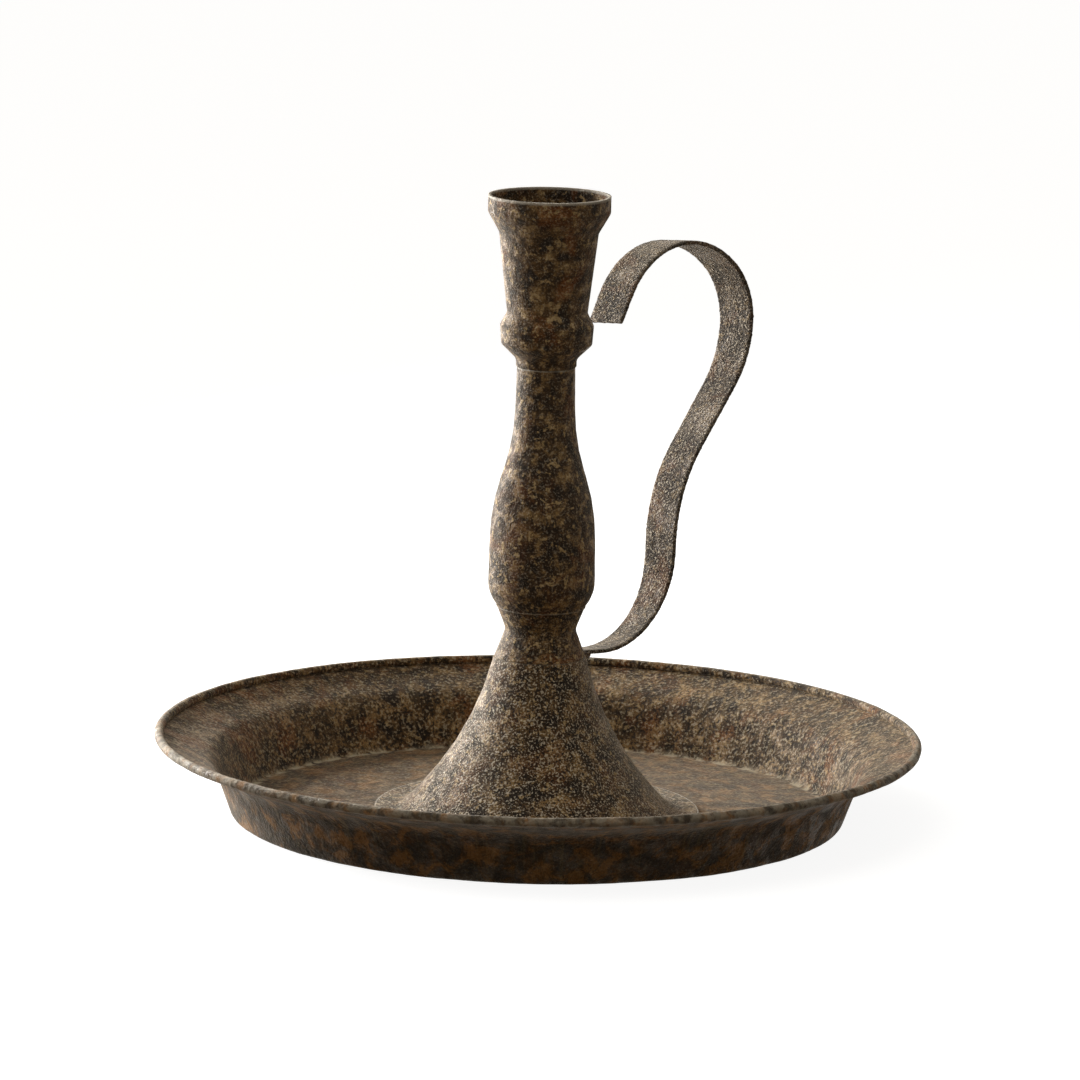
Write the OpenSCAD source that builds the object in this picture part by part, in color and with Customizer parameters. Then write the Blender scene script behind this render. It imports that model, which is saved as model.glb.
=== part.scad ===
// A chamber candlestick of sheet iron: a drip pan with a wired edge, a spun foot,
// a hollow turned column, a candle cup and a strap handle, held together by one tie rod.
// Millimetres, +Z up. The origin is the centre of the face that the pan rests on.

/* [Pan] */
// Outer diameter over the wired edge
pan_d = 210; // [180:1:250]
// Height of the wire's centre above the table
rim_z = 21.5; // [18:0.5:30]
// Diameter where the floor and the wall would meet
floor_d = 167.6; // [160:0.2:172]
// Diameter where the wall and the brim would meet
brim_d = 178; // [175:0.2:190]
// Height where the wall and the brim would meet
brim_z = 14.2; // [10:0.1:16]
// Thickness of the pan's sheet
pan_t = 0.6; // [0.5:0.05:1]
// Diameter of the wire inside the rolled edge
wire_d = 1.2; // [0.8:0.1:1.8]
// How far the rolled edge goes round the wire, in degrees
roll_angle = 285; // [240:1:290]
// Rounding between the floor and the wall
floor_round = 1.6; // [1.2:0.1:4]
// Rounding between the wall and the brim
brim_round = 9; // [4:0.5:11]
// Height of the raised middle that keeps the lower nut off the table
boss_h = 7.6; // [7:0.1:10]
// Diameter of the flat top of the raised middle
boss_d = 15; // [13:0.5:18]
// Diameter of the foot of the raised middle
boss_foot_d = 25; // [23:0.5:30]

/* [Foot] */
// Diameter of the foot's toe on the pan
foot_d = 89; // [84:1:100]
// Width of the flat toe
toe_w = 7.2; // [5:0.1:9]
// Height of the foot above the pan's floor
foot_h = 43.4; // [38:0.2:50]
// Diameter of the foot's top
foot_top_d = 25.2; // [24.8:0.1:28]
// Radius where the foot's lower and upper slopes would meet
foot_knee_r = 18.1; // [16.5:0.1:19]
// Height above the pan's floor where these slopes would meet
foot_knee_h = 21.4; // [18:0.2:24]
// Radius of the foot's long flare
foot_flare = 84; // [40:1:84]
// Sheet thickness of the foot and the column
sheet_t = 0.8; // [0.6:0.05:1]

/* [Collar] */
// Height of the collar
collar_h = 14; // [13:0.1:17]
// Diameter of the collar's lower edge
collar_foot_d = 24.6; // [24:0.1:24.8]
// Diameter where the collar's two slopes would meet at its waist
waist_d = 19.1; // [18:0.1:20]
// Height of the waist above the collar's lower edge
waist_h = 7.8; // [7:0.1:8.4]
// Diameter of the collar's top
collar_top_d = 24; // [22.5:0.1:24]

/* [Baluster] */
// Height of the baluster, from the collar to the cup
baluster_h = 66.2; // [60:0.2:75]
// Diameter of the baluster's lower edge
bulb_foot_d = 24.4; // [24:0.1:25]
// Diameter where the bulb's lower slope and its side would meet
bulb_d = 29.2; // [28:0.1:32]
// Height where they would meet
bulb_z = 3.9; // [3.6:0.1:6]
// Diameter where the bulb's side and its shoulder would meet
shoulder_d = 28.6; // [27:0.1:29]
// Height where they would meet
shoulder_h = 27.5; // [25:0.1:29]
// Diameter where the shoulder and the neck would meet
neck_foot_d = 16.6; // [16:0.1:18]
// Height where they would meet
neck_h = 46; // [45:0.1:49]
// Diameter of the neck under the cup
neck_d = 15.8; // [15:0.1:16.2]
// Radius of the curves of the bulb's shoulder and of the neck's foot
shoulder_round = 58; // [20:1:58]

/* [Candle cup] */
// Height of the candle cup
cup_h = 46.9; // [44:0.1:56]
// Outer diameter of the mouth
mouth_d = 33.3; // [31:0.1:36]
// Height of the straight band at the mouth
mouth_band = 4.6; // [2:0.1:6]
// Diameter where the cup's body and its mouth's flare would meet
flare_d = 27; // [26:0.1:28]
// Height of that flare
flare_h = 5.5; // [4:0.1:7]
// Outer diameter of the throat, where a 22 mm candle wedges above it
throat_d = 21.9; // [21.5:0.1:23]
// Height of the throat above the cup's base
throat_h = 14.9; // [14:0.1:17]
// Diameter of the bead
bead_d = 25.5; // [25:0.1:28]
// Height of the bead's upper corner above the cup's base
bead_top = 11.4; // [10:0.1:12]
// Diameter of the bead's lower corner
bead_low_d = 24.7; // [24:0.1:25]
// Height of the bead's lower corner above the cup's base
bead_low = 6.3; // [5.5:0.1:7.5]
// Diameter of the cup's base
cup_base_d = 16.5; // [16.4:0.1:18]
// Height of the straight side of the cup's base
cup_base_h = 2.3; // [1.8:0.1:2.8]

/* [Handle] */
// Direction of the handle, counted from +X towards +Y
handle_angle = 45; // [0:5:90]
// How far the handle leans over sideways, in degrees
handle_lean = 5.7; // [0:0.1:8]
// Height of the strap's middle above the collar's lower edge
handle_h = 0.8; // [0.7:0.1:1.8]
// Thickness of the strap
strap_t = 1.2; // [0.8:0.1:1.5]
// Width of the strap where it meets the collar
strap_end_w = 9.4; // [8:0.1:12]
// Width of the strap at the elbow
strap_elbow_w = 11.2; // [8:0.1:13]
// Height of the elbow above the strap's lower end
elbow_h = 18; // [10:1:30]
// Width of the strap at its top
strap_top_w = 12.9; // [10:0.1:15]
// Slope of the lower leg, down from the collar
leg_slope = 5; // [0:0.1:7]
// Straight length of the lower leg, from the collar's axis
leg_len = 19.5; // [16:0.1:26]
// Radius of the bend from the lower leg to the upright
elbow_r = 27.1; // [20:0.1:32]
// Angle of that bend
elbow_angle = 87.6; // [80:0.5:92]
// Straight length of the upright
upright_len = 3.6; // [1:0.1:15]
// Radius of the bend outwards
sway_r = 45.6; // [30:0.1:50]
// Angle of that bend
sway_angle = 35.1; // [30:0.1:40]
// Straight length between the bend outwards and the bow
rise_len = 22; // [15:0.1:30]
// Radius of the bow's outer side
bow_side_r = 31.3; // [24:0.1:36]
// Angle of the bow's outer side
bow_side_angle = 32; // [26:0.5:40]
// Radius of the bow's outer corner
bow_r = 20; // [15:0.1:26]
// Angle of the bow's outer corner
bow_angle = 56.2; // [45:0.1:62]
// Radius of the bow's inner half
hook_r = 26.9; // [22:0.1:30]
// Angle of the bow's inner half
hook_angle = 102.4; // [80:0.1:106]
// Straight length at the strap's free end
tip_len = 8.4; // [1:0.1:10]
// How far the braze runs out along the strap
braze_reach = 2.6; // [1.5:0.1:4]
// How far the braze climbs the collar above the strap
braze_up = 2.4; // [1.5:0.1:4]
// How far the braze runs down below the strap
braze_down = 1.7; // [1:0.1:2.5]
// How far the braze stands out past the strap's edges
braze_side = 0.8; // [0.5:0.1:1.5]

/* [Tie rod] */
// Diameter of the tie rod
rod_d = 5; // [4:0.5:5.5]
// Clearance round the rod in the holes it passes
rod_gap = 0.3; // [0.2:0.05:0.5]
// Width of the nuts across their flats
nut_w = 8; // [7.5:0.5:9]
// Height of the nuts
nut_h = 3.5; // [2.5:0.1:3.8]
// Diameter of the washers
washer_d = 10; // [10:0.1:11]
// Thickness of the washers
washer_t = 1; // [0.6:0.1:1.2]
// How far the rod stands out of each nut
rod_out = 1.5; // [0.5:0.1:1.6]

/* [Hidden] */

// Clearance between curved faces that lie on each other
fit_gap = 0.05;
// Height of the straight lower edge of the collar and of the baluster
seam_land = 0.5;
// Rounding of the small corners of the sheet pieces
edge_round = 0.5;
// Rounding of the corners at the foot's toe, the raised middle, the waist and the bulb
toe_round = 6;
boss_round = 1.4;
waist_round = 3;
bulb_round = 10;
// Roundings of the cup, from its base to its mouth
cup_base_round = 2.2;
bead_low_round = 1.2;
bead_round = 1.6;
throat_round = 1.8;
flare_round = 2.6;
mouth_round = 2;
// Largest turn between two points of an arc, in degrees
arc_step = 7;
// Most of a side that a rounding may use up
side_share = 0.97;
// Facets round the turned pieces, round the bores and round the wire
round_fn = 96;
bore_fn = 48;
wire_fn = 24;
// How far a cut runs past what it cuts
cut_past = 1;

// Heights of the seams, from the table up
foot_top_z = pan_t + foot_h;
collar_top_z = foot_top_z + collar_h;
cup_z = collar_top_z + baluster_h;
top_z = cup_z + cup_h;

// The wired edge
bead_r = wire_d / 2 + fit_gap + pan_t;
wire_r = pan_d / 2 - bead_r;

// The tie rod and its hole
hole_r = rod_d / 2 + rod_gap;
rod_low_z = boss_h - washer_t - nut_h - rod_out;
cup_floor_z = cup_z + sheet_t;
rod_top_z = cup_floor_z + washer_t + nut_h + rod_out;

// The strap
strap_z = foot_top_z + handle_h;
strap_max_w = max(strap_end_w, strap_elbow_w, strap_top_w);

// The braze: its heights are counted from the strap's middle on the column's axis
wall_r = max(collar_foot_d, foot_top_d) / 2;
braze_r = wall_r + braze_reach;
braze_skin = 0.3;
wall_z = -wall_r * tan(leg_slope);
toe_z = -braze_r * tan(leg_slope);
braze_high = wall_z + strap_t / 2 + braze_up;
braze_low = wall_z - strap_t / 2 - braze_down;
collar_slope = (collar_foot_d - waist_d) / 2 / waist_h;
foot_slope = (foot_knee_r - foot_top_d / 2) / (foot_h - foot_knee_h);
braze_high_r = collar_foot_d / 2 + braze_skin - collar_slope * (handle_h + braze_high);
braze_low_r = foot_top_d / 2 + braze_skin - foot_slope * (handle_h + braze_low);

function xy(p) = [p[0], p[1]];
function turned(v, a) = [v[0] * cos(a) - v[1] * sin(a), v[0] * sin(a) + v[1] * cos(a)];
function unit(v) = v / norm(v);

// Points of an arc that starts at p, round c, through an angle
function arc(c, p, angle) =
    let (n = max(2, ceil(abs(angle) / arc_step)))
    [for (i = [0:n]) c + turned(p - c, angle * i / n)];

// The arc that rounds corner b between a and c; a short side limits its radius
function rounded(a, b, c, r) =
    let (u = unit(a - b),
         v = unit(c - b),
         half = acos(u * v) / 2,
         reach = min(r / tan(half), side_share * min(norm(a - b), norm(c - b))),
         centre = b + unit(u + v) * reach / cos(half),
         side = cross(b - a, c - b) > 0 ? 1 : -1)
    arc(centre, b + u * reach, side * (180 - 2 * half));

// A line through corners [x, y] or [x, y, rounding]
function line(c) =
    [for (i = [0:len(c) - 1])
        each len(c[i]) < 3 ? [c[i]] : rounded(xy(c[i - 1]), xy(c[i]), xy(c[i + 1]), c[i][2])];

// The direction to the left of a line at its point i, longer at a corner
function left(p, i) =
    let (last = len(p) - 1,
         into = i == 0 ? unit(p[1] - p[0]) : unit(p[i] - p[i - 1]),
         out = i == last ? into : unit(p[i + 1] - p[i]),
         mid = unit(into + out))
    [-mid[1], mid[0]] / (mid * into);

// The line moved to its left
function moved(p, t) = [for (i = [0:len(p) - 1]) p[i] + t * left(p, i)];

// The outline of a sheet that lies to the left of a line
function sheet(p, t) = concat(p, [for (i = [len(p) - 1:-1:0]) p[i] + t * left(p, i)]);

// A spun sheet piece from the line of its outer face
module spun(p, t) {
    rotate_extrude($fn = round_fn) polygon(sheet(p, t));
}

// The pan's under side and outer side, up to where the sheet meets the wire
rim_centre = [wire_r, rim_z];
brim_start = [brim_d / 2, brim_z];
brim_run = norm(rim_centre - brim_start);
brim_angle = atan2(rim_z - brim_z, wire_r - brim_d / 2) - asin(bead_r / brim_run);
roll_start = rim_centre + bead_r * [sin(brim_angle), -cos(brim_angle)];
pan_line = concat(
    line([[hole_r, boss_h],
          [boss_d / 2, boss_h, boss_round],
          [boss_foot_d / 2, 0, boss_round],
          [floor_d / 2, 0, floor_round],
          [brim_d / 2, brim_z, brim_round],
          roll_start]),
    [for (i = [1:1:ceil(roll_angle / arc_step / 2)])
        rim_centre + turned(roll_start - rim_centre, roll_angle * i / ceil(roll_angle / arc_step / 2))]);

foot_side = line([
    [foot_d / 2, sheet_t],
    [foot_d / 2 - toe_w, sheet_t, toe_round],
    [foot_knee_r, foot_knee_h, foot_flare],
    [foot_top_d / 2, foot_h, edge_round],
    [hole_r, foot_h]]);

collar_side = line([
    [collar_foot_d / 2, 0],
    [collar_foot_d / 2, seam_land],
    [waist_d / 2, waist_h, waist_round],
    [collar_top_d / 2, collar_h]]);

baluster_side = line([
    [bulb_foot_d / 2, 0],
    [bulb_foot_d / 2, seam_land],
    [bulb_d / 2, bulb_z, bulb_round],
    [shoulder_d / 2, shoulder_h, shoulder_round],
    [neck_foot_d / 2, neck_h, shoulder_round],
    [neck_d / 2, baluster_h],
    [hole_r, baluster_h]]);

cup_side = line([
    [hole_r, 0],
    [cup_base_d / 2, 0, edge_round],
    [cup_base_d / 2, cup_base_h, cup_base_round],
    [bead_low_d / 2, bead_low, bead_low_round],
    [bead_d / 2, bead_top, bead_round],
    [throat_d / 2, throat_h, throat_round],
    [flare_d / 2, cup_h - mouth_band - flare_h, flare_round],
    [mouth_d / 2, cup_h - mouth_band, mouth_round],
    [mouth_d / 2, cup_h]]);

module pan() {
    color("#4a3c28") spun(pan_line, pan_t);
}

module rim_wire() {
    color("#5a5048")
    translate([0, 0, rim_z])
    rotate_extrude($fn = round_fn)
    translate([wire_r, 0])
    circle(d = wire_d, $fn = wire_fn);
}

module foot() {
    color("#54432b") translate([0, 0, pan_t]) spun(foot_side, sheet_t);
}

module collar() {
    color("#4c3a24")
    translate([0, 0, foot_top_z])
    spun(concat(collar_side, [[hole_r, collar_h]]), sheet_t);
}

module baluster() {
    color("#3e2f1d") translate([0, 0, collar_top_z]) spun(baluster_side, sheet_t);
}

module candle_cup() {
    color("#4e3b24") translate([0, 0, cup_z]) spun(cup_side, sheet_t);
}

// The strap is drawn as bends and straights, one after another: each step gives
// the next state [point, heading, line so far]
function ahead(s, len) =
    let (p = s[0] + len * [cos(s[1]), sin(s[1])])
    [p, s[1], concat(s[2], [p])];
function bent(s, r, angle) =
    let (side = angle > 0 ? 1 : -1,
         c = s[0] + side * r * [-sin(s[1]), cos(s[1])],
         pts = arc(c, s[0], angle))
    [pts[len(pts) - 1], s[1] + angle, concat(s[2], [for (i = [1:len(pts) - 1]) pts[i]])];

strap_start = [[0, 0], -leg_slope, [[0, 0]]];
strap_elbow = bent(ahead(strap_start, leg_len), elbow_r, elbow_angle);
strap_sway = bent(ahead(strap_elbow, upright_len), sway_r, -sway_angle);
strap_rise = bent(ahead(strap_sway, rise_len), bow_side_r, bow_side_angle);
strap_bow = bent(strap_rise, bow_r, bow_angle);
strap_end = ahead(bent(strap_bow, hook_r, hook_angle), tip_len);
strap_line = moved(strap_end[2], -strap_t / 2);
strap_top = max([for (p = strap_line) p[1]]) + 2 * strap_t;
strap_low = min([for (p = strap_line) p[1]]) - 2 * strap_t;
// The strap as it is seen from straight ahead: its right side, and the left one mirrored
strap_right = [
    [strap_end_w / 2, strap_low],
    [strap_end_w / 2, 0],
    [strap_elbow_w / 2, elbow_h],
    [strap_top_w / 2, strap_top]];
strap_front = concat(
    strap_right,
    [for (i = [len(strap_right) - 1:-1:0]) [-strap_right[i][0], strap_right[i][1]]]);

// Puts a shape in the handle's frame: x runs out from the axis, y across the strap, z up
module at_handle() {
    rotate([0, 0, handle_angle])
    translate([0, 0, strap_z])
    rotate([-handle_lean, 0, 0])
    children();
}

// A side view of the handle, x out and y up, made as wide as the strap or its braze
module across_strap(width) {
    at_handle()
    rotate([90, 0, 0])
    linear_extrude(width, center = true)
    children();
}

// The room that the collar and the foot take up, with the gap that the handle keeps from them
module column_room() {
    translate([0, 0, foot_top_z])
    rotate_extrude($fn = round_fn)
    polygon(concat([[0, 0]], moved(collar_side, -fit_gap), [[0, collar_h]]));
    translate([0, 0, pan_t])
    rotate_extrude($fn = round_fn)
    polygon(concat([[0, foot_h + fit_gap], [0, sheet_t]], moved(foot_side, -fit_gap)));
}

module strap() {
    intersection() {
        across_strap(strap_max_w) polygon(sheet(strap_line, strap_t));
        at_handle()
        rotate([90, 0, 90])
        linear_extrude(pan_d / 2)
        polygon(strap_front);
    }
}

module handle() {
    color("#6b5a3f")
    difference() {
        strap();
        column_room();
    }
}

module handle_braze() {
    color("#3b2a1c")
    difference() {
        intersection() {
            translate([0, 0, strap_z])
            rotate_extrude($fn = round_fn)
            polygon(line([
                [wall_r / 2, braze_high],
                [braze_high_r, braze_high],
                [wall_r + braze_skin, wall_z + strap_t / 2, braze_up],
                [braze_r, toe_z + strap_t / 2],
                [braze_r, toe_z - strap_t / 2],
                [braze_low_r, wall_z - strap_t / 2, braze_down],
                [braze_low_r, braze_low],
                [wall_r / 2, braze_low]]));
            across_strap(strap_end_w + 2 * braze_side)
            translate([0, -braze_r])
            square([2 * braze_r, 2 * braze_r]);
        }
        strap();
        column_room();
    }
}

module tie_rod() {
    color("#6e6a63")
    translate([0, 0, rod_low_z])
    cylinder(d = rod_d, h = rod_top_z - rod_low_z, $fn = bore_fn);
}

module washer() {
    difference() {
        cylinder(d = washer_d, h = washer_t, $fn = bore_fn);
        translate([0, 0, -cut_past]) cylinder(r = hole_r, h = washer_t + 2 * cut_past, $fn = bore_fn);
    }
}

module nut() {
    difference() {
        cylinder(d = nut_w / cos(30), h = nut_h, $fn = 6);
        translate([0, 0, -cut_past])
        cylinder(d = rod_d + 2 * fit_gap, h = nut_h + 2 * cut_past, $fn = bore_fn);
    }
}

module lower_washer() {
    color("#6e6a63") translate([0, 0, boss_h - washer_t]) washer();
}

module lower_nut() {
    color("#6e6a63") translate([0, 0, boss_h - washer_t - nut_h]) nut();
}

module cup_washer() {
    color("#6e6a63") translate([0, 0, cup_floor_z]) washer();
}

module cup_nut() {
    color("#6e6a63") translate([0, 0, cup_floor_z + washer_t]) nut();
}

pan();
rim_wire();
foot();
collar();
baluster();
candle_cup();
handle();
handle_braze();
tie_rod();
lower_washer();
lower_nut();
cup_washer();
cup_nut();
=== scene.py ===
"""A chamber candlestick of aged sheet iron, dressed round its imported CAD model."""
import math

import bpy
import numpy as np
from mathutils import Matrix, Vector


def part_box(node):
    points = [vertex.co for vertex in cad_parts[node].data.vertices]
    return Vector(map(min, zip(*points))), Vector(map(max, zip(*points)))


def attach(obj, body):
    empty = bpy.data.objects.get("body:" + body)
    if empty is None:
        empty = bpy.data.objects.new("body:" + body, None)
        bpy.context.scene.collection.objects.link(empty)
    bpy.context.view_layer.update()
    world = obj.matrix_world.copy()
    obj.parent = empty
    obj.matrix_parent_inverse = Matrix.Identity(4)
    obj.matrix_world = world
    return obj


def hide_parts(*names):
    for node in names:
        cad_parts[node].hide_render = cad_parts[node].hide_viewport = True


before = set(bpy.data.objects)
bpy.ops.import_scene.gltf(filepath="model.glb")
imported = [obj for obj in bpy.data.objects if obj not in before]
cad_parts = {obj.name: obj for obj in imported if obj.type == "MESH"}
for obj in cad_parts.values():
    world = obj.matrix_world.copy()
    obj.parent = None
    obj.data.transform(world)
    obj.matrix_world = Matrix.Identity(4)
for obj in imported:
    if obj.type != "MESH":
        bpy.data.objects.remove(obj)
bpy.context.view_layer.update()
scene = bpy.context.scene

MM = 0.001

# Camera: the photograph's place and lens, for a square picture
IMAGE_PX = 1080
SENSOR_MM = 36
FOCAL_PX = 6761.6
CAMERA_PLACE = (-0.00065, -1.81068, 0.41871)
CAMERA_DIP = 0.1869
CAMERA_ROLL = 0.0217

# Room: the lamps point at the middle of the object, and the table is seen nearly white
TARGET = Vector((0, 0, 0.07))
ROOM_LIGHT = 0.27
TABLE_SIZE = 6
TABLE_GLOW = 0.90

# Points closer than these are one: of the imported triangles, of a cut section, of a spun mesh
SAME_CORNER = 0.002 * MM
SAME_ON_CUT = 0.01 * MM
SAME_ON_SPIN = 0.005 * MM
SHARP_FROM = math.radians(50)
MOST_HALVINGS = 8

# Radius at which the pan's floor turns up into its wall
FLOOR_EDGE = 82.5 * MM
# Scuffs run up the pan's wall: about 1.6 mm wide there, and 17 mm long
SCUFFS_PER_RADIAN = 60
SCUFFS_PER_METRE = 60
# Rings that the spinning lathe left on the cup
RING_SPACING = 0.9 * MM
NOISE_ROUGHNESS = 0.6


def linear(code):
    """An sRGB hex colour as linear RGBA."""
    parts = [int(code[i:i + 2], 16) / 255 for i in (1, 3, 5)]
    return [c / 12.92 if c <= 0.04045 else ((c + 0.055) / 1.055) ** 2.4 for c in parts] + [1.0]


def make_camera():
    data = bpy.data.cameras.new("camera")
    data.sensor_width = SENSOR_MM
    data.lens = FOCAL_PX / IMAGE_PX * SENSOR_MM
    camera = bpy.data.objects.new("camera", data)
    scene.collection.objects.link(camera)
    turn = Matrix.Rotation(math.pi / 2 - CAMERA_DIP, 4, "X") @ Matrix.Rotation(CAMERA_ROLL, 4, "Z")
    camera.matrix_world = Matrix.Translation(CAMERA_PLACE) @ turn
    scene.camera = camera


def soft_box(name, azimuth, height, distance, size, watts):
    """A square lamp that faces the object; azimuth 0 is the camera's side, positive to the left."""
    around = math.radians(azimuth)
    up = math.radians(height)
    place = TARGET + distance * Vector((-math.sin(around) * math.cos(up),
                                        -math.cos(around) * math.cos(up),
                                        math.sin(up)))
    data = bpy.data.lights.new(name, "AREA")
    data.size = size
    data.energy = watts
    lamp = bpy.data.objects.new(name, data)
    scene.collection.objects.link(lamp)
    lamp.location = place
    lamp.rotation_euler = (TARGET - place).to_track_quat("-Z", "Y").to_euler()


def add(tree, kind, inputs=None, output=0, stops=None, **settings):
    """Adds a node with its settings, its input values or links and a ramp's stops, and
    gives back one of its outputs."""
    node = tree.nodes.new(kind)
    for name, value in settings.items():
        setattr(node, name, value)
    for name, value in (inputs or {}).items():
        if isinstance(value, bpy.types.NodeSocket):
            tree.links.new(value, node.inputs[name])
        else:
            node.inputs[name].default_value = value
    if stops:
        elements = node.color_ramp.elements
        while len(elements) < len(stops):
            elements.new(1.0)
        for element, (place, colour) in zip(elements, stops):
            element.position = place
            element.color = linear(colour)
    return node.outputs[output] if node.outputs else None


def empty_material(name):
    material = bpy.data.materials.new(name)
    material.use_nodes = True
    material.node_tree.nodes.clear()
    return material


def seen(tree):
    """1 for the rays that show a background: straight, mirrored or through glass."""
    shows = 0.0
    for ray in ("Is Camera Ray", "Is Glossy Ray", "Is Transmission Ray"):
        path = add(tree, "ShaderNodeLightPath", output=ray)
        shows = add(tree, "ShaderNodeMath", {0: shows, 1: path}, operation="MAXIMUM")
    return shows


def make_room():
    """A dim warm room for the object, and a white one for the background."""
    world = bpy.data.worlds.new("room")
    scene.world = world
    world.use_nodes = True
    tree = world.node_tree
    tree.nodes.clear()
    dim = add(tree, "ShaderNodeBackground", {"Color": linear("#f4ead8"), "Strength": ROOM_LIGHT})
    white = add(tree, "ShaderNodeBackground", {"Color": linear("#ffffff"), "Strength": 1.0})
    both = add(tree, "ShaderNodeMixShader", {0: seen(tree), 1: dim, 2: white})
    add(tree, "ShaderNodeOutputWorld", {"Surface": both})


def make_table():
    """Matt white paint: it looks nearly white and keeps the object's shadow, but throws
    only a dull brown light back on the object."""
    bpy.ops.mesh.primitive_plane_add(size=TABLE_SIZE)
    table = bpy.context.object
    table.name = "floor"
    material = empty_material("matt white table")
    tree = material.node_tree
    dull = add(tree, "ShaderNodeBsdfDiffuse", {"Color": linear("#6e6050")})
    pale = add(tree, "ShaderNodeBsdfDiffuse", {"Color": linear("#a2a2a2")})
    glow = add(tree, "ShaderNodeEmission", {"Color": linear("#ffffff"), "Strength": TABLE_GLOW})
    lit = add(tree, "ShaderNodeAddShader", {0: pale, 1: glow})
    both = add(tree, "ShaderNodeMixShader", {0: seen(tree), 1: dull, 2: lit})
    add(tree, "ShaderNodeOutputMaterial", {"Surface": both})
    table.data.materials.append(material)


def select_only(piece):
    bpy.ops.object.select_all(action="DESELECT")
    piece.select_set(True)
    bpy.context.view_layer.objects.active = piece


def copy_of(node, name):
    """A copy of a CAD node with its loose triangles merged."""
    piece = bpy.data.objects.new(name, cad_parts[node].data.copy())
    piece.data.materials.clear()
    scene.collection.objects.link(piece)
    select_only(piece)
    bpy.ops.object.mode_set(mode="EDIT")
    bpy.ops.mesh.select_all(action="SELECT")
    bpy.ops.mesh.remove_doubles(threshold=SAME_CORNER)
    bpy.ops.object.mode_set(mode="OBJECT")
    return piece


def split_long_edges(piece, longest):
    """Halves the edges that are longer than a length until none is left."""
    bpy.ops.object.mode_set(mode="OBJECT")
    mesh = piece.data
    for _ in range(MOST_HALVINGS):
        long = [e.index for e in mesh.edges
                if (mesh.vertices[e.vertices[0]].co - mesh.vertices[e.vertices[1]].co).length > longest]
        if not long:
            return
        bpy.ops.object.mode_set(mode="EDIT")
        bpy.ops.mesh.select_mode(type="EDGE")
        bpy.ops.mesh.select_all(action="DESELECT")
        bpy.ops.object.mode_set(mode="OBJECT")
        for i in long:
            mesh.edges[i].select = True
        bpy.ops.object.mode_set(mode="EDIT")
        bpy.ops.mesh.subdivide(number_cuts=1)
        bpy.ops.object.mode_set(mode="OBJECT")


def spin_again(node, name, spacing, steps):
    """Cuts a CAD node's section out, divides it evenly and spins it to an even mesh."""
    piece = copy_of(node, name)
    bpy.ops.object.mode_set(mode="EDIT")
    bpy.ops.mesh.select_all(action="SELECT")
    bpy.ops.mesh.bisect(plane_co=(0, 0, 0), plane_no=(0, 1, 0), clear_inner=True, clear_outer=True,
                        threshold=0.001 * MM)
    bpy.ops.mesh.select_all(action="DESELECT")
    bpy.ops.object.mode_set(mode="OBJECT")
    for v in piece.data.vertices:
        v.select = v.co.x < 0
    bpy.ops.object.mode_set(mode="EDIT")
    bpy.ops.mesh.delete(type="VERT")
    bpy.ops.mesh.select_all(action="SELECT")
    bpy.ops.mesh.remove_doubles(threshold=SAME_ON_CUT)
    split_long_edges(piece, spacing)
    bpy.ops.object.mode_set(mode="EDIT")
    bpy.ops.mesh.select_all(action="SELECT")
    bpy.ops.mesh.spin(steps=steps, angle=2 * math.pi, center=(0, 0, 0), axis=(0, 0, 1))
    bpy.ops.mesh.select_all(action="SELECT")
    bpy.ops.mesh.remove_doubles(threshold=SAME_ON_SPIN)
    bpy.ops.mesh.normals_make_consistent(inside=False)
    bpy.ops.object.mode_set(mode="OBJECT")
    bpy.ops.object.shade_smooth_by_angle(angle=SHARP_FROM)
    return piece


def worn_round(node, name, voxel, smoothing):
    """A CAD node's copy in even small faces, with its sharp edges worn round."""
    piece = copy_of(node, name)
    remesh = piece.modifiers.new("remesh", "REMESH")
    remesh.mode = "VOXEL"
    remesh.voxel_size = voxel
    remesh.use_smooth_shade = True
    bpy.ops.object.modifier_apply(modifier=remesh.name)
    smooth = piece.modifiers.new("smooth", "SMOOTH")
    smooth.factor = 0.5
    smooth.iterations = smoothing
    bpy.ops.object.modifier_apply(modifier=smooth.name)
    return piece


def clouds(name, size, depth):
    """A soft pattern for the surface's height, one lump about as wide as size."""
    pattern = bpy.data.textures.new(name, "CLOUDS")
    pattern.noise_scale = size
    pattern.noise_depth = depth
    return pattern


DENTS = clouds("dents", 14 * MM, 2)
PITS = clouds("pits", 2.2 * MM, 3)
SCALE = clouds("scale", 0.9 * MM, 2)


def roughen(piece, pattern, height):
    """Raises and sinks a surface along its normals, height from lowest to highest."""
    select_only(piece)
    modifier = piece.modifiers.new("roughen", "DISPLACE")
    modifier.texture = pattern
    modifier.texture_coords = "LOCAL"
    modifier.mid_level = 0.5
    modifier.strength = height
    bpy.ops.object.modifier_apply(modifier=modifier.name)


def points_of(mesh):
    """The places and the normals of a mesh's points, one row each."""
    place = np.empty(len(mesh.vertices) * 3)
    normal = np.empty(len(mesh.vertices) * 3)
    mesh.vertices.foreach_get("co", place)
    mesh.vertices.foreach_get("normal", normal)
    return place.reshape(-1, 3), normal.reshape(-1, 3)


def write_on_points(mesh, name, values):
    attribute = mesh.attributes.new(name, "FLOAT", "POINT")
    attribute.data.foreach_set("value", values.astype(np.float32))


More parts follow.
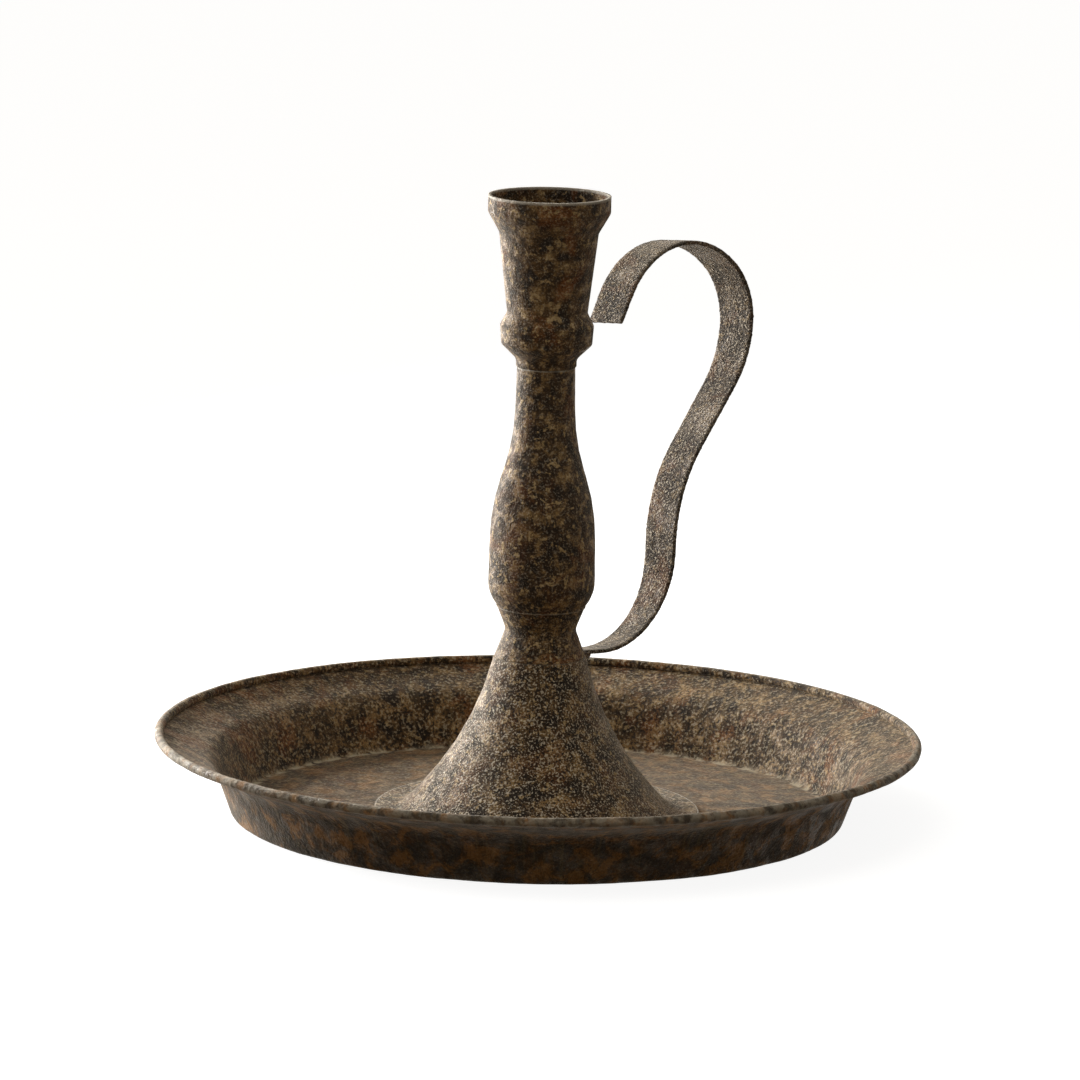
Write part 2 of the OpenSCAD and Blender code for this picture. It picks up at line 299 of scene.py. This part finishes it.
def mark_wear(piece):
    """Writes how far each point stands out from its neighbours, for the worn edges."""
    mesh = piece.data
    place, normal = points_of(mesh)
    ends = np.empty(len(mesh.edges) * 2, int)
    mesh.edges.foreach_get("vertices", ends)
    ends = ends.reshape(-1, 2)
    total = np.zeros((len(place), 3))
    near = np.zeros(len(place))
    for here, there in ((0, 1), (1, 0)):
        np.add.at(total, ends[:, here], place[ends[:, there]])
        np.add.at(near, ends[:, here], 1)
    middle = total / np.maximum(near, 1)[:, None]
    spacing = np.linalg.norm(place[ends[:, 0]] - place[ends[:, 1]], axis=1).mean()
    write_on_points(mesh, "wear", np.einsum("ij,ij->i", place - middle, normal) / spacing)


def mark_outer(piece):
    """Writes which way a surface looks: 1 away from the column's axis, 0 towards it."""
    place, normal = points_of(piece.data)
    reach = np.maximum(np.hypot(place[:, 0], place[:, 1]), MM)
    outwards = (place[:, 0] * normal[:, 0] + place[:, 1] * normal[:, 1]) / reach
    write_on_points(piece.data, "outer", np.clip(outwards * 2 + 0.5, 0, 1))


# Aged sheet iron. The grit of real rust is about 0.2 mm, and is drawn as grain of 0.55 mm,
# the finest that shows. Each share is how much of a colour covers the one below.
IRON = {
    "dark": "#20150a", "mid": "#4b361b", "tan": "#876b42",
    "blotch_mm": 5.0,
    "rust": "#7c4a1e", "rust_mm": 13.0, "rust_share": 0.45,
    "spot": "#b0956a", "spot_mm": 2.0, "spot_share": 0.8,
    "pit": "#0e0904", "pit_share": 0.9,
    "pale": "#d2c7b2", "grain_mm": 0.55, "grain_share": 0.5,
    "bare": "#cfc8ba", "wear_share": 0.6,
    "relief_mm": 0.4, "rough": (0.5, 0.8), "sheen": 0.3,
}
# Each pattern's detail and distortion
PATTERNS = {"blotch": (5, 0.5), "spot": (3, 0.0), "rust": (5, 0.8), "grain": (2, 0.0)}


def lay(tree, under, code, pattern, start, end, share, within=1.0):
    """Lays a colour over another: none where a pattern is at start, a share of it at end,
    and less where a second pattern is under 1."""
    amount = add(tree, "ShaderNodeMapRange",
                 {"Value": pattern, "From Min": start, "From Max": end, "To Max": share},
                 interpolation_type="SMOOTHSTEP")
    amount = add(tree, "ShaderNodeMath", {0: amount, 1: within}, operation="MULTIPLY")
    return add(tree, "ShaderNodeMix", {0: amount, 6: under, 7: linear(code)}, output=2, data_type="RGBA")


def iron(name, marks=None, **changes):
    """Sheet iron that has rusted and been rubbed bare again: dark oxide with tan and
    rust-coloured blotches, and a sandy grain whose tops are worn to grey metal. The oxide
    is rough and hardly shines, and its dust lightens it where it turns away from the eye."""
    look = {**IRON, **changes}
    material = empty_material(name)
    tree = material.node_tree
    place = add(tree, "ShaderNodeTexCoord", output="Object")
    noise = {}
    for pattern, (detail, distortion) in PATTERNS.items():
        noise[pattern] = add(tree, "ShaderNodeTexNoise",
                             {"Vector": place, "Scale": 1 / (look[pattern + "_mm"] * MM), "Detail": detail,
                              "Roughness": NOISE_ROUGHNESS, "Distortion": distortion})
    colour = add(tree, "ShaderNodeValToRGB", {"Fac": noise["blotch"]},
                 stops=[(0.40, look["dark"]), (0.52, look["mid"]), (0.64, look["tan"])])
    colour = lay(tree, colour, look["rust"], noise["rust"], 0.50, 0.66, look["rust_share"])
    colour = lay(tree, colour, look["spot"], noise["spot"], 0.57, 0.65, look["spot_share"])
    colour = lay(tree, colour, look["pit"], noise["grain"], 0.47, 0.37, look["pit_share"])
    colour = lay(tree, colour, look["pale"], noise["grain"], 0.54, 0.64, look["grain_share"])
    wear = add(tree, "ShaderNodeAttribute", output="Fac", attribute_name="wear")
    patchy = add(tree, "ShaderNodeMapRange",
                 {"Value": noise["spot"], "From Min": 0.35, "From Max": 0.60, "To Min": 0.25, "To Max": 1.0},
                 interpolation_type="SMOOTHSTEP")
    colour = lay(tree, colour, look["bare"], wear, 0.05, 0.22, look["wear_share"], patchy)
    if marks:
        colour = marks(tree, place, colour)
    least, most = look["rough"]
    rough = add(tree, "ShaderNodeMapRange",
                {"Value": noise["blotch"], "From Min": 0.4, "From Max": 0.65,
                 "To Min": most, "To Max": least},
                interpolation_type="SMOOTHSTEP")
    # The spots are squared, so that their tops stand up out of the grain
    relief = add(tree, "ShaderNodeMath", {0: noise["spot"], 1: noise["spot"], 2: noise["grain"]},
                 operation="MULTIPLY_ADD")
    bump = add(tree, "ShaderNodeBump",
               {"Height": relief, "Strength": 1.0, "Distance": look["relief_mm"] * MM})
    shader = add(tree, "ShaderNodeBsdfPrincipled",
                 {"Base Color": colour, "Roughness": rough, "Normal": bump,
                  "Specular IOR Level": 0.12, "Sheen Weight": look["sheen"], "Sheen Roughness": 0.45,
                  "Sheen Tint": linear("#d8cdbb")})
    add(tree, "ShaderNodeOutputMaterial", {"Surface": shader})
    return material


def pan_marks(tree, place, colour):
    """The pan's marks: an outer side browned in larger patches, scuffs up the wall, a
    pale line where the floor meets the wall, and a pale rim: rubbed metal and a painted highlight."""
    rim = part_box("pan")[1].x
    x = add(tree, "ShaderNodeSeparateXYZ", {0: place}, output=0)
    y = add(tree, "ShaderNodeSeparateXYZ", {0: place}, output=1)
    x_squared = add(tree, "ShaderNodeMath", {0: x, 1: x}, operation="MULTIPLY")
    sum_squared = add(tree, "ShaderNodeMath", {0: y, 1: y, 2: x_squared}, operation="MULTIPLY_ADD")
    radius = add(tree, "ShaderNodeMath", {0: sum_squared}, operation="SQRT")
    outer = add(tree, "ShaderNodeAttribute", output="Fac", attribute_name="outer")
    mostly = add(tree, "ShaderNodeMath", {0: outer, 1: 0.8}, operation="MULTIPLY")
    burnt = add(tree, "ShaderNodeTexNoise",
                {"Vector": place, "Scale": 1 / (5.5 * MM), "Detail": 5, "Roughness": NOISE_ROUGHNESS,
                 "Distortion": 0.6})
    crust = add(tree, "ShaderNodeValToRGB", {"Fac": burnt},
                stops=[(0.44, "#1c1308"), (0.53, "#4a3217"), (0.60, "#875f33")])
    colour = add(tree, "ShaderNodeMix", {0: mostly, 6: colour, 7: crust}, output=2, data_type="RGBA")

    angle = add(tree, "ShaderNodeMath", {0: y, 1: x}, operation="ARCTAN2")
    across = add(tree, "ShaderNodeMath", {0: angle, 1: SCUFFS_PER_RADIAN}, operation="MULTIPLY")
    along = add(tree, "ShaderNodeMath", {0: radius, 1: SCUFFS_PER_METRE}, operation="MULTIPLY")
    lines = add(tree, "ShaderNodeCombineXYZ", {0: across, 1: along})
    scuff = add(tree, "ShaderNodeTexNoise", {"Vector": lines, "Scale": 1.0, "Detail": 3.0})
    wall = add(tree, "ShaderNodeMapRange",
               {"Value": radius, "From Min": FLOOR_EDGE, "From Max": FLOOR_EDGE + 4 * MM},
               interpolation_type="SMOOTHSTEP")
    colour = lay(tree, colour, "#a08a63", scuff, 0.54, 0.68, 0.16, wall)
    colour = lay(tree, colour, "#22180e", scuff, 0.46, 0.34, 0.22, wall)

    patch = add(tree, "ShaderNodeTexNoise",
                {"Vector": place, "Scale": 1 / (3.5 * MM), "Detail": 4, "Roughness": NOISE_ROUGHNESS})
    offset = add(tree, "ShaderNodeMath", {0: radius, 1: FLOOR_EDGE}, operation="SUBTRACT")
    gap = add(tree, "ShaderNodeMath", {0: offset}, operation="ABSOLUTE")
    on_line = add(tree, "ShaderNodeMapRange",
                  {"Value": gap, "From Min": 1.6 * MM, "From Max": 0.3 * MM},
                  interpolation_type="SMOOTHSTEP")
    colour = lay(tree, colour, "#b3a68c", patch, 0.42, 0.58, 0.75, on_line)
    # The rim is painted pale all round: partly rubbed metal, partly a painted highlight on the bead
    rubbed = add(tree, "ShaderNodeMapRange",
                 {"Value": patch, "From Min": 0.40, "From Max": 0.58, "To Min": 0.1, "To Max": 0.6},
                 interpolation_type="SMOOTHSTEP")
    return lay(tree, colour, "#a39a89", radius, rim - 2.2 * MM, rim - 0.9 * MM, 1.0, rubbed)


def cup_marks(tree, place, colour):
    """The cup's marks: fine dark rings from the lathe, and a pale lip, worn metal and painted highlight."""
    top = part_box("candle_cup")[1].z
    height = add(tree, "ShaderNodeSeparateXYZ", {0: place}, output=2)
    steps = add(tree, "ShaderNodeMath", {0: height, 1: 1 / RING_SPACING}, operation="MULTIPLY")
    levels = add(tree, "ShaderNodeCombineXYZ", {2: steps})
    ring = add(tree, "ShaderNodeTexNoise", {"Vector": levels, "Scale": 1.0, "Detail": 1.0})
    colour = lay(tree, colour, "#2a1c10", ring, 0.45, 0.35, 0.4)
    # The top of the lip is painted pale all round: partly worn metal, partly a painted highlight
    return lay(tree, colour, "#b9b1a3", height, top - 0.9 * MM, top - 0.3 * MM, 0.75)


def steel(name):
    """Drawn steel, dulled by a brown oxide film: grey metal with darker, rougher blotches."""
    material = empty_material(name)
    tree = material.node_tree
    place = add(tree, "ShaderNodeTexCoord", output="Object")
    blotch = add(tree, "ShaderNodeTexNoise",
                 {"Vector": place, "Scale": 1 / (1.8 * MM), "Detail": 4, "Roughness": NOISE_ROUGHNESS})
    colour = add(tree, "ShaderNodeValToRGB", {"Fac": blotch},
                 stops=[(0.40, "#4a3a2a"), (0.52, "#6c6358"), (0.68, "#8d877d")])
    rough = add(tree, "ShaderNodeMapRange",
                {"Value": blotch, "From Min": 0.4, "From Max": 0.65, "To Min": 0.7, "To Max": 0.42},
                interpolation_type="SMOOTHSTEP")
    bump = add(tree, "ShaderNodeBump", {"Height": blotch, "Distance": 0.08 * MM})
    shader = add(tree, "ShaderNodeBsdfPrincipled",
                 {"Base Color": colour, "Roughness": rough, "Normal": bump, "Metallic": 0.8})
    add(tree, "ShaderNodeOutputMaterial", {"Surface": shader})
    return material


def dress(piece, node, material):
    """Gives a new piece its finish and lets it stand for its CAD node."""
    mark_wear(piece)
    piece.data.materials.clear()
    piece.data.materials.append(material)
    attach(piece, "root")
    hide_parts(node)


def make_pan():
    """Spun sheet iron, browned and rubbed: a coarser and duller grain than the foot's."""
    piece = spin_again("pan", "drip_pan", spacing=1.3 * MM, steps=310)
    roughen(piece, DENTS, 0.25 * MM)
    roughen(piece, PITS, 0.10 * MM)
    mark_outer(piece)
    finish = iron("sheet iron, spun, rusted and rubbed", pan_marks, rust_share=0.5, spot_share=0.5,
                  grain_mm=0.85, tan="#7a5f39", pale="#b5a88f")
    dress(piece, "pan", finish)


def make_foot():
    """Spun sheet iron with a sandy coat of rust: strong pale grain over dark pits."""
    piece = spin_again("foot", "spun_foot", spacing=0.8 * MM, steps=260)
    roughen(piece, PITS, 0.08 * MM)
    finish = iron("sheet iron, spun, sandy with rust", grain_share=0.75, pit_share=1.0, rust_share=0.25,
                  sheen=0.45)
    dress(piece, "foot", finish)


def make_collar():
    """Spun sheet iron under brown oxide: small blotches and little grain."""
    piece = spin_again("collar", "waisted_collar", spacing=0.4 * MM, steps=220)
    roughen(piece, PITS, 0.08 * MM)
    finish = iron("sheet iron, spun, brown oxide", blotch_mm=3.5, grain_share=0.3, spot_share=0.9)
    dress(piece, "collar", finish)


def make_column():
    """Spun sheet iron under its darkest oxide: soft tan spots and little grain."""
    piece = spin_again("baluster", "column", spacing=0.5 * MM, steps=220)
    roughen(piece, PITS, 0.09 * MM)
    finish = iron("sheet iron, spun, dark oxide", mid="#3f2c16", blotch_mm=3.6, rust_share=0.35,
                  grain_share=0.25, pit_share=0.6, spot_share=0.9)
    dress(piece, "baluster", finish)


def make_cup():
    """Spun sheet iron, reddest with rust: soft blotches, lathe rings and a pale lip, partly painted
    highlight.
    """
    piece = spin_again("candle_cup", "socket", spacing=0.4 * MM, steps=240)
    roughen(piece, PITS, 0.08 * MM)
    finish = iron("sheet iron, spun, red-brown rust", cup_marks, mid="#50391c", blotch_mm=4.0,
                  rust_share=0.6, grain_share=0.25, pit_share=0.5, spot_share=0.9)
    dress(piece, "candle_cup", finish)


def make_handle():
    """Rolled strap iron: grey-brown all over, with the strongest grain and worn edges."""
    piece = worn_round("handle", "strap_handle", voxel=0.32 * MM, smoothing=6)
    roughen(piece, SCALE, 0.08 * MM)
    finish = iron("strap iron, rolled, sandy grey-brown", mid="#3b2c1a", tan="#5c4a33", pale="#aea28e",
                  blotch_mm=9.0, rust_share=0.3, spot_share=0.3, grain_share=0.85, pit_share=1.0)
    dress(piece, "handle", finish)


def make_braze():
    """Oxidised braze: a dark lumpy run with hardly any grain or wear."""
    piece = worn_round("handle_braze", "braze_run", voxel=0.12 * MM, smoothing=4)
    roughen(piece, SCALE, 0.25 * MM)
    finish = iron("braze, oxidised", mid="#37261a", tan="#5a4630", grain_share=0.2, wear_share=0.2)
    dress(piece, "handle_braze", finish)


def dress_hardware():
    """The rod, its nuts and washers and the wire keep their CAD shapes."""
    finish = steel("steel, drawn, dull with oxide")
    for node in ("rim_wire", "tie_rod", "lower_washer", "lower_nut", "cup_washer", "cup_nut"):
        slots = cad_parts[node].material_slots
        for i in range(len(slots)):
            slots[i].material = finish


make_camera()
make_room()
make_table()
# A big soft box behind the left side gives the bright left edges, and a weak one fills from above
soft_box("key", azimuth=127, height=6, distance=0.5, size=0.4, watts=11.5)
soft_box("top", azimuth=40, height=62, distance=1.1, size=0.8, watts=3)
make_pan()
make_foot()
make_collar()
make_column()
make_cup()
make_handle()
make_braze()
dress_hardware()

scene.view_settings.view_transform = "Standard"
